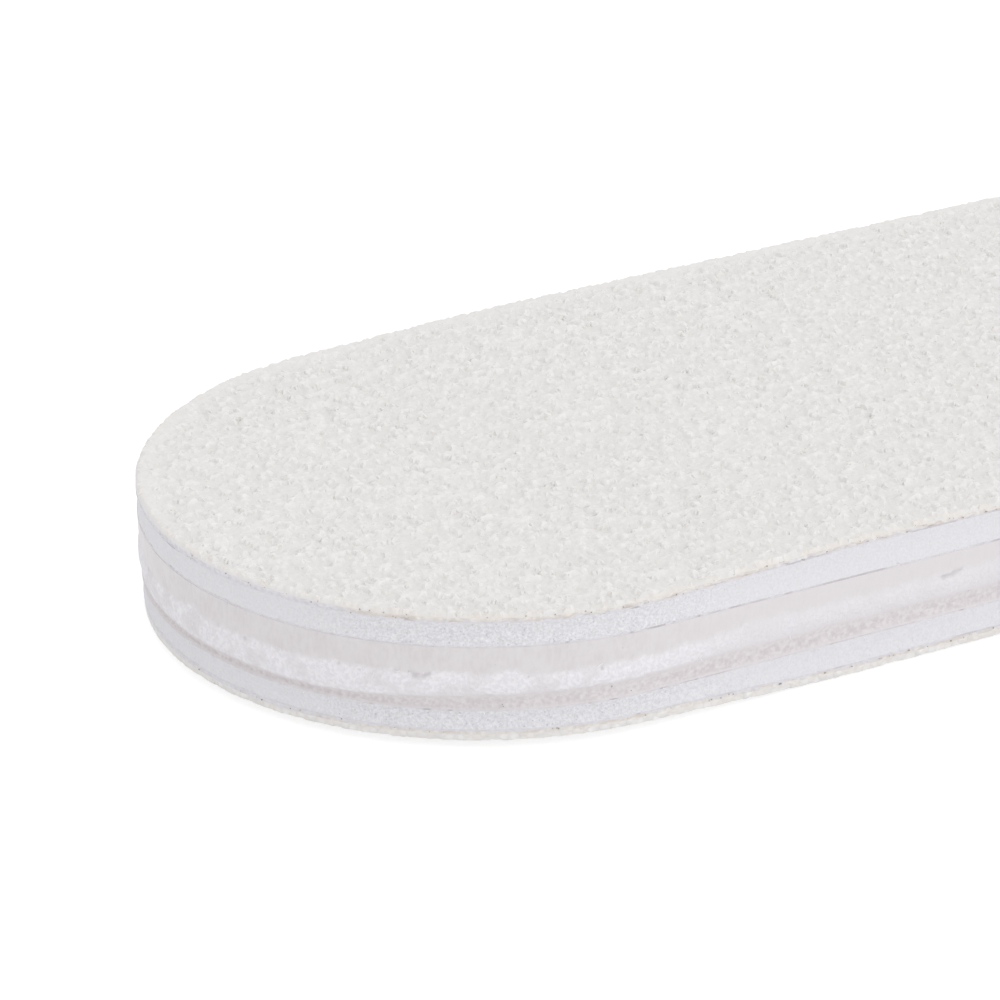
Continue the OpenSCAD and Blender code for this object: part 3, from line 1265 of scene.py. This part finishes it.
def make_coat(name, node, outward, close_up, seed):
    """An abrasive coat, with single grains where the close view shows them."""
    def share_at(x, y):
        return close_share(x, y) * close_up

    thick = topside[node] - underside[node]
    back = underside[node] if outward > 0 else topside[node]
    rim_share = share_at(ring_x, ring_out_y * TIP_RADIUS)
    rim_level = PLAIN_RIM_LEVEL + (RIM_LEVEL - PLAIN_RIM_LEVEL) * rim_share
    back_ring, rim_ring = coat_rings(back, thick, outward, rim_level, seed + 1)
    spots, lifts, tones = face_spots(share_at, close_up, np.random.default_rng(seed))
    spots = np.concatenate([rim_ring[:, :2], spots])
    lifts = np.concatenate([rim_level, lifts])
    borders = [(here, (here + 1) % RING) for here in range(RING)]
    triangles = triangulate(spots, borders, INSIDE_BORDER)
    height = face_height(back, spots[:, 0]) + outward * thick * lifts
    height[:RING] = rim_ring[:, 2]

    # The face's own points come after the ring at the back
    points = np.concatenate([back_ring, np.c_[spots, height]])
    lifts = np.concatenate([np.full(RING, BACK_LIFT), lifts])
    rim_tones = 0.5 + wander(rim_ring, size=RIM_CRUMB, by=0.5, seed=seed + 2)
    tones = np.concatenate([rim_tones, rim_tones, tones])
    rim = wall_faces(2)
    triangles = triangles + RING
    if outward < 0:
        rim = rim[:, ::-1]
        triangles = triangles[:, ::-1]
    faces = rim.tolist() + triangles.tolist() + strip_faces(0, outward < 0).tolist()
    close = share_at(points[:, 0], points[:, 1])
    marks = coat_marks(points, faces, lifts, tones, close, outward, seed + 3)
    coat = make_piece(name, points, faces, white_grit, node, marks)

    # Crystals have flat facets; the rim and the sparse field stay smooth
    smooth = np.ones(len(faces), bool)
    smooth[len(rim):len(rim) + len(triangles)] = close[triangles].min(axis=1) < FLAT_FACETS_FROM
    coat.data.polygons.foreach_set("use_smooth", smooth)


make_coat("upper_abrasive_coat", "upper_grit", outward=1, close_up=True, seed=5)
make_coat("lower_abrasive_coat", "lower_grit", outward=-1, close_up=False, seed=15)

# %% [markdown]
# ## What the blade leaves behind
#
# Cutting makes dust. Brown crumbs of paper sit along the ragged line under the
# grit, grey ones are strewn over the core, white crumbs of plastic cling to the
# torn ridge and to the foam under it, and a few threads of plastic curl out of the
# ridge. Dark dots in the finish would be cheaper. These are real little lumps and
# strands instead, because at this distance each one casts its own shadow.

# %% Places on the edge
QUARTER_TURN = TIP_RADIUS * pi / 2


def edge_place(along, height, relief):
    """Points on the near edge, at a distance along it from the nose and a height."""
    angle = np.clip(along / TIP_RADIUS, None, pi / 2)
    past = np.maximum(along - QUARTER_TURN, 0)
    reach = cut_radius(height) - relief
    x = -TIP_X + past - np.cos(angle) * reach
    return np.stack([x, -np.sin(angle) * reach, height], axis=-1)


def layer_height(node, share, along):
    """True height of a share of a layer at places along the edge."""
    x = edge_place(along, np.full(len(along), RIM_Z), 0)[:, 0]
    low = face_height(underside[node], x)
    return low + (face_height(topside[node], x) - low) * share


print(f"from the nose to the long side it is {QUARTER_TURN:.1f} mm along the edge")

# %% [markdown]
# ## Crumbs
#
# A crumb is an octahedron whose six tips are pulled about at random. That is the
# simplest solid that looks broken and not round. Small crumbs are common and large
# ones rare, so the random share between the two sizes is squared.

# %% Crumbs
CRUMB_TIPS = np.array([(1, 0, 0), (0, 1, 0), (-1, 0, 0), (0, -1, 0), (0, 0, 1), (0, 0, -1)], float)
CRUMB_SIDES = [(0, 1, 4), (1, 2, 4), (2, 3, 4), (3, 0, 4), (1, 0, 5), (2, 1, 5), (3, 2, 5), (0, 3, 5)]
CRUMB_STRETCH = (0.5, 1.0)
CRUMB_PULL = 0.25
CRUMBS_START = 0.5
CRUMBS_PAST_TIP = 12
CRUMB_SUNK = 0.02


def crumb_finish(name, pale, dark):
    finish, shader = new_finish(name, pale, roughness=0.8, specular=0.2)
    mottle = remap(finish, cloud(finish, size_mm=0.03), 0.4, 0.6)
    join(finish, blend(finish, mottle, pale, dark), shader.inputs["Base Color"])
    emboss(finish, shader, cloud(finish, size_mm=0.02), depth_mm=0.01, strength=0.5)
    return finish


def lumps(centres, sizes, rng):
    """Small irregular crumbs: octahedra with their tips pulled about."""
    count = len(centres)
    shapes = CRUMB_TIPS * rng.uniform(*CRUMB_STRETCH, (count, len(CRUMB_TIPS), 1))
    shapes = shapes + rng.uniform(-CRUMB_PULL, CRUMB_PULL, (count, len(CRUMB_TIPS), 3))
    points = centres[:, None] + shapes * np.asarray(sizes)[:, None, None] / 2
    starts = range(0, count * len(CRUMB_TIPS), len(CRUMB_TIPS))
    faces = [[start + tip for tip in side] for start in starts for side in CRUMB_SIDES]
    return points.reshape(-1, 3), faces


def strew(name, finish, count, places, sizes, seed):
    """Crumbs strewn along the near edge: places gives node, lowest and highest share."""
    rng = np.random.default_rng(seed)
    node, lowest, highest = places
    smallest, largest = sizes
    along = rng.uniform(CRUMBS_START, QUARTER_TURN + CRUMBS_PAST_TIP, count)
    height = layer_height(node, rng.uniform(lowest, highest, count), along)
    centres = edge_place(along, height, rng.uniform(0.0, CRUMB_SUNK, count))
    size = smallest + (largest - smallest) * rng.uniform(0, 1, count) ** 2
    points, faces = lumps(centres, size, rng)
    return make_piece(name, points, faces, finish, None)


brown_crumb = crumb_finish("brown_crumb", pale=srgb(196, 182, 170), dark=srgb(150, 136, 124))
grey_crumb = crumb_finish("grey_crumb", pale=srgb(186, 182, 184), dark=srgb(130, 126, 128))
white_crumb = crumb_finish("white_crumb", pale=srgb(250, 250, 252), dark=srgb(240, 239, 243))
strew("paper_crumbs", brown_crumb, count=90, places=("upper_paper", -0.2, 1.4),
      sizes=(0.02, 0.07), seed=61)
strew("low_paper_crumbs", brown_crumb, count=45, places=("lower_paper", 0.2, 1.0),
      sizes=(0.03, 0.08), seed=62)
strew("core_dust", grey_crumb, count=26, places=("core", 0.0, 1.0),
      sizes=(0.025, 0.06), seed=63)
strew("ridge_crumbs", white_crumb, count=160, places=("core", 0.26, 0.62),
      sizes=(0.025, 0.07), seed=64)
strew("foam_crumbs", white_crumb, count=80, places=("lower_foam", 0.75, 1.0),
      sizes=(0.025, 0.06), seed=65)

# %% [markdown]
# ## Threads
#
# Where the plastic tears it also draws out into threads, a fifth of a millimetre
# long and as fine as the smallest crumb. A curve with a bevel would make them, but
# a thread of so few points is as easily walked: from its root, step by step along
# a heading that bends a little each time, with three points round it at each step.

# %% Threads
THREAD_COUNT = 34
THREAD_STEPS = 7
THREAD_LENGTH = 0.22
THREAD_RADIUS = 0.009
THREAD_TAPER = 0.7
THREAD_OUTWARD = 0.5
THREAD_CURL = 0.8
CURL_PER_STEP = 0.25
THREAD_SIDES = 3
THREADS_PAST_TIP = 6
THREAD_ROOTS = (0.3, 0.62)
THREAD_ROOT_PROUD = 0.02
# A direction that threads hardly ever take, from which their sideways ones follow
ACROSS = Vector((0.3, 0.2, 1))


def thread_points(root, rng):
    """The points of one thin curled thread that leaves the edge at its root."""
    away = Vector((root[0] + TIP_X, root[1], 0)).normalized()
    heading = (away * THREAD_OUTWARD + Vector(rng.uniform(-1, 1, 3))).normalized()
    curl = Vector(rng.uniform(-1, 1, 3)) * THREAD_CURL
    centre = Vector(root)
    points = []
    for step in range(THREAD_STEPS):
        slim = THREAD_RADIUS * (1 - THREAD_TAPER * step / THREAD_STEPS)
        side = heading.cross(ACROSS).normalized()
        other = heading.cross(side)
        for turn in range(THREAD_SIDES):
            angle = turn * 2 * pi / THREAD_SIDES
            points.append(centre + side * cos(angle) * slim + other * sin(angle) * slim)
        centre = centre + heading * (THREAD_LENGTH / THREAD_STEPS)
        heading = (heading + curl * CURL_PER_STEP).normalized()
    return points


def thread_faces(first):
    """The sides and both ends of the thread whose first point is given."""
    last = first + THREAD_SIDES * (THREAD_STEPS - 1)
    faces = []
    for low in range(first, last, THREAD_SIDES):
        high = low + THREAD_SIDES
        for turn in range(THREAD_SIDES):
            after = (turn + 1) % THREAD_SIDES
            faces.append([low + turn, low + after, high + after, high + turn])
    return faces + [[first + 2, first + 1, first], [last, last + 1, last + 2]]


thread_rng = np.random.default_rng(71)
thread_along = thread_rng.uniform(0, QUARTER_TURN + THREADS_PAST_TIP, THREAD_COUNT)
thread_shares = thread_rng.uniform(*THREAD_ROOTS, THREAD_COUNT)
thread_heights = layer_height("core", thread_shares, thread_along)
roots = edge_place(thread_along, thread_heights, np.full(THREAD_COUNT, -THREAD_ROOT_PROUD))
all_points = [point for root in roots for point in thread_points(root, thread_rng)]
firsts = range(0, len(all_points), THREAD_SIDES * THREAD_STEPS)
all_faces = [face for first in firsts for face in thread_faces(first)]
make_piece("torn_threads", np.array(all_points), all_faces, white_crumb, None)

# %% [markdown]
# ## The table
#
# The board lies on plain white card. A card that is lit like any other would come
# out grey round the board, and one that glows would drown its shadow. So the card
# has two looks, picked by the kind of ray that meets it: plain white for the light
# that it throws back at the board, and for the camera a grey with a glow of its
# own, which comes out pure white where it is fully lit and still shows the shadow.

# %% Table
FLOOR_SIDE = 3.0
FLOOR_DROP = 0.02
CARD_WHITE = (0.95, 0.95, 0.95, 1)
CARD_SEEN = (0.35, 0.35, 0.35, 1)
CARD_GLOW = 0.8


def card_finish():
    finish = bpy.data.materials.new("white_card")
    finish.use_nodes = True
    finish.node_tree.nodes.clear()
    output = add_node(finish, "ShaderNodeOutputMaterial")
    plain = add_node(finish, "ShaderNodeBsdfDiffuse", Color=CARD_WHITE)
    seen = add_node(finish, "ShaderNodeBsdfDiffuse", Color=CARD_SEEN)
    glow = add_node(finish, "ShaderNodeEmission", Strength=CARD_GLOW)
    bright = add_node(finish, "ShaderNodeAddShader")
    choose = add_node(finish, "ShaderNodeMixShader")
    path = add_node(finish, "ShaderNodeLightPath")
    join(finish, seen.outputs[0], bright.inputs[0])
    join(finish, glow.outputs[0], bright.inputs[1])
    by_eye = combine(finish, "MAXIMUM", path.outputs["Is Camera Ray"], path.outputs["Is Glossy Ray"])
    by_eye = combine(finish, "MAXIMUM", by_eye, path.outputs["Is Transmission Ray"])
    join(finish, by_eye, choose.inputs[0])
    join(finish, plain.outputs[0], choose.inputs[1])
    join(finish, bright.outputs[0], choose.inputs[2])
    join(finish, choose.outputs[0], output.inputs["Surface"])
    return finish


floor_mesh = bpy.data.meshes.new("table")
half = FLOOR_SIDE / 2
floor_mesh.from_pydata([(-half, -half, 0), (half, -half, 0), (half, half, 0), (-half, half, 0)],
                       [], [(0, 1, 2, 3)])
floor_mesh.materials.append(card_finish())
floor = bpy.data.objects.new("table", floor_mesh)
floor.location.z = -FLOOR_DROP * MM
scene.collection.objects.link(floor)
floor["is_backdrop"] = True
print(f"a white card {FLOOR_SIDE} m square, {FLOOR_DROP} mm under the board")

# %% [markdown]
# ## The light
#
# The photograph has soft daylight from all round and hardly any shadow. A pale sky
# gives most of it, and one large lamp in front and to the right brightens the edge
# that faces it. To the camera the sky is plain white, like the card.

# %% Light
LAMP_PLACE = (0.5, -0.8, 0.5)
LAMP_SIDE = 1.6
LAMP_POWER = 3.9
SKY_STRENGTH = 0.875
BACKDROP_STRENGTH = 1.0
WHITE = (1, 1, 1, 1)

lamp_data = bpy.data.lights.new("front_lamp", "AREA")
lamp_data.size = LAMP_SIDE
lamp_data.energy = LAMP_POWER
lamp = bpy.data.objects.new("front_lamp", lamp_data)
lamp.location = LAMP_PLACE
lamp.rotation_euler = Vector(LAMP_PLACE).to_track_quat("Z", "Y").to_euler()
scene.collection.objects.link(lamp)

world = bpy.data.worlds.new("daylight")
world.use_nodes = True
world.node_tree.nodes.clear()
scene.world = world
sky = add_node(world, "ShaderNodeBackground", Color=WHITE, Strength=SKY_STRENGTH)
backdrop = add_node(world, "ShaderNodeBackground", Color=WHITE, Strength=BACKDROP_STRENGTH)
ray = add_node(world, "ShaderNodeLightPath")
pick = add_node(world, "ShaderNodeMixShader")
sight = add_node(world, "ShaderNodeOutputWorld")
join(world, ray.outputs["Is Camera Ray"], pick.inputs[0])
join(world, sky.outputs[0], pick.inputs[1])
join(world, backdrop.outputs[0], pick.inputs[2])
join(world, pick.outputs[0], sight.inputs["Surface"])
print(f"one lamp of {LAMP_POWER} W and a sky of strength {SKY_STRENGTH}")

# %% [markdown]
# ## Print the sizes and finish
#
# The looks must not change the board's size, so the dressed model's box is printed
# beside the imported model's box.

# %% Print the sizes
visual_low, visual_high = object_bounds()
sizes = {
    "cad": [list(cad_low), list(cad_high)],
    "visual": [list(visual_low), list(visual_high)],
}
for key, (low, high) in sizes.items():
    print(key, [round((b - a) / MM, 3) for a, b in zip(low, high)])
